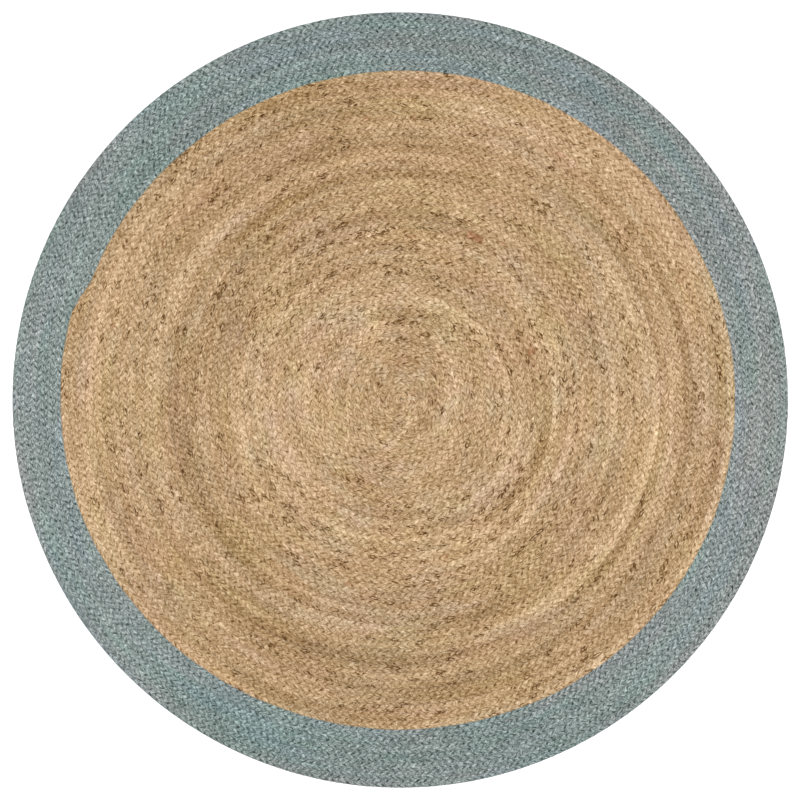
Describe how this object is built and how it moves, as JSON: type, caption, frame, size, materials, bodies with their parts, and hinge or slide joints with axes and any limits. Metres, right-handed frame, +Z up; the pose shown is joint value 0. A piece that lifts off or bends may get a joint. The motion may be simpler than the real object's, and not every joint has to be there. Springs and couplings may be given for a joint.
{
  "type": "round braided jute rug",
  "caption": "Round flat rug: natural jute braid coiled from the middle and sewn row to row, with a band of grey-teal dyed braid out to the rim. Lies flat on a floor.",
  "frame": {"origin": "the middle of the rug, on its flat underside", "axes": "+Z up through the rug's thickness; seen from above, +X is to the right and +Y is towards the top of the picture"},
  "size_m": [1.2, 1.2, 0.008],
  "materials": {
    "natural_jute": "matte undyed jute, flat three-strand braid",
    "dyed_jute": "matte jute dyed grey-teal, flat three-strand braid"
  },
  "bodies": {
    "root": {"natural_coil": "natural_jute", "dyed_border": "dyed_jute"}
  },
  "joints": []
}
